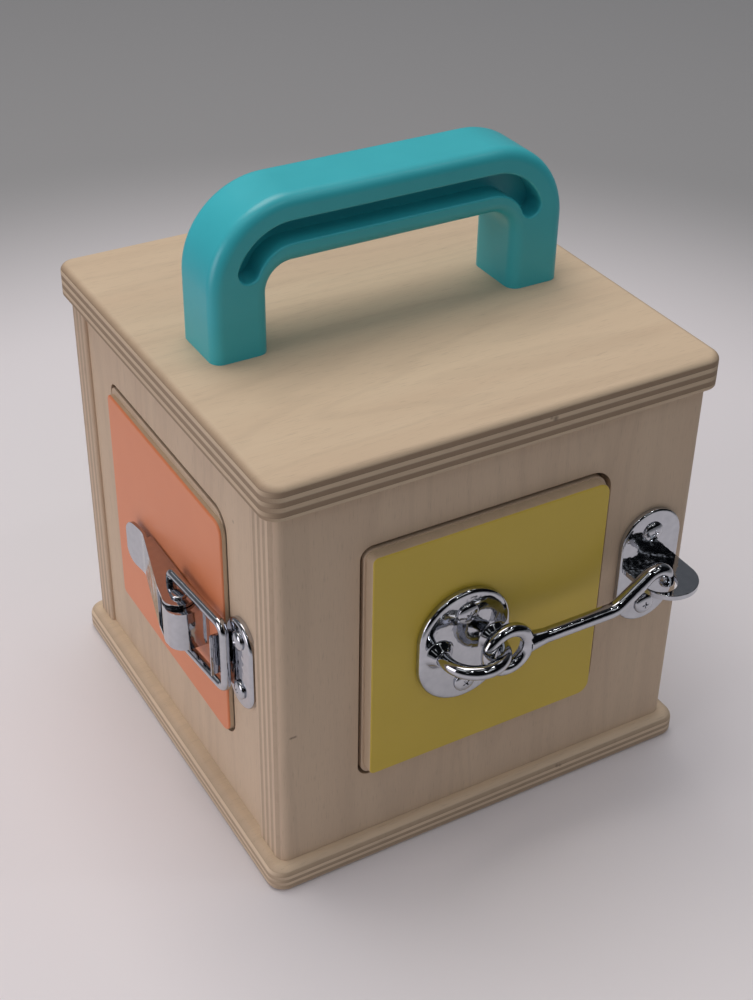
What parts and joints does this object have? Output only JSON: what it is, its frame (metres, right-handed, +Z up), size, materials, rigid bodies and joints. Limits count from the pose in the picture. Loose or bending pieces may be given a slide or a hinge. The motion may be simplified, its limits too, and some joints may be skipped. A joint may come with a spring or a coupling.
{
  "type": "latch box",
  "caption": "Plywood cube with a small door in each side, each held by another kind of latch, and a carrying handle on its lid.",
  "frame": {"origin": "centre of the base board's underside", "axes": "+Z up through the handle; -Y is out of the front (yellow) door; -X is out of the left (coral) door"},
  "size_m": [0.1955, 0.2024, 0.2146],
  "materials": {
    "birch_plywood": "sanded, bare",
    "beech": "sanded, bare",
    "yellow_paint": "satin paint on thin board",
    "coral_paint": "satin paint on thin board",
    "blue_paint": "satin paint on thin board",
    "green_paint": "satin paint on thin board",
    "teal_plastic": "moulded, satin",
    "chrome_plate": "bright chrome plate on steel",
    "zinc_steel": "zinc-plated steel"
  },
  "bodies": {
    "frame": {"base_board": "birch_plywood", "front_panel": "birch_plywood", "back_panel": "birch_plywood", "left_wall": "birch_plywood", "right_wall": "birch_plywood", "lid_board": "birch_plywood", "lid_dowels": "beech", "corner_dowels": "beech", "base_screws": "zinc_steel", "front_door_stop": "beech", "left_door_stop": "beech", "right_door_stop": "beech", "back_door_stop": "beech", "carry_handle": "teal_plastic", "handle_washers": "zinc_steel", "handle_screws": "zinc_steel", "hook_keeper": "chrome_plate", "hook_keeper_screws": "chrome_plate", "clasp_keeper": "chrome_plate", "clasp_keeper_screws": "chrome_plate", "bolt_keeper": "chrome_plate", "bolt_keeper_screws": "chrome_plate", "turn_button_spacer": "zinc_steel", "turn_button_screw": "zinc_steel"},
    "front_door": {"front_door_board": "birch_plywood", "front_door_face": "yellow_paint", "front_door_pins": "zinc_steel", "hook_plate": "chrome_plate", "hook_plate_screws": "chrome_plate", "hook_staple": "chrome_plate"},
    "front_hook": {"hook_rod": "chrome_plate"},
    "left_door": {"left_door_board": "birch_plywood", "left_door_face": "coral_paint", "left_door_pins": "zinc_steel", "clasp_base": "chrome_plate", "clasp_base_screws": "chrome_plate", "clasp_pin": "chrome_plate"},
    "clasp_lever_arm": {"clasp_lever": "chrome_plate"},
    "clasp_bail_wire": {"clasp_bail": "chrome_plate"},
    "right_door": {"right_door_board": "birch_plywood", "right_door_face": "blue_paint", "right_door_pins": "zinc_steel", "bolt_plate": "chrome_plate", "bolt_plate_screws": "chrome_plate"},
    "slide_bolt": {"bolt_rod": "chrome_plate", "bolt_knob": "chrome_plate"},
    "back_door": {"back_door_board": "birch_plywood", "back_door_face": "green_paint", "back_door_pins": "zinc_steel", "back_door_knob": "beech", "knob_screw": "zinc_steel"},
    "button": {"turn_button": "beech"}
  },
  "joints": [
    {"name": "front_door_hinge", "type": "hinge", "parent": "frame", "child": "front_door", "pos_m": [-0.0335, -0.0768, 0.0837], "axis": [0, 0, -1], "range_deg": [0, 95]},
    {"name": "hook_lift", "type": "hinge", "parent": "front_door", "child": "front_hook", "pos_m": [-0.0046, -0.0955, 0.0833], "axis": [0, -1, 0], "range_deg": [-3.5, 100]},
    {"name": "left_door_hinge", "type": "hinge", "parent": "frame", "child": "left_door", "pos_m": [-0.0753, 0.0323, 0.0837], "axis": [0, 0, -1], "range_deg": [0, 105]},
    {"name": "clasp_throw", "type": "hinge", "parent": "left_door", "child": "clasp_lever_arm", "pos_m": [-0.087, -0.0223, 0.077], "axis": [0, 0, 1], "range_deg": [0, 120]},
    {"name": "bail_swing", "type": "hinge", "parent": "clasp_lever_arm", "child": "clasp_bail_wire", "pos_m": [-0.086, -0.014, 0.077], "axis": [0, 0, 1], "range_deg": [-114, 0]},
    {"name": "right_door_hinge", "type": "hinge", "parent": "frame", "child": "right_door", "pos_m": [0.0753, -0.0323, 0.0837], "axis": [0, 0, -1], "range_deg": [0, 105]},
    {"name": "bolt_throw", "type": "slide", "parent": "right_door", "child": "slide_bolt", "axis": [0, 1, 0], "range_m": [0, 0.012]},
    {"name": "back_door_hinge", "type": "hinge", "parent": "frame", "child": "back_door", "pos_m": [0.0335, 0.0768, 0.0837], "axis": [0, 0, -1], "range_deg": [0, 105]},
    {"name": "button_turn", "type": "hinge", "parent": "frame", "child": "button", "pos_m": [-0.053, 0.085, 0.0822], "axis": [0, 1, 0], "continuous": true}
  ],
  "couplings": [
    {"joint": "bail_swing", "follows": "clasp_throw", "ratio": -0.95}
  ]
}
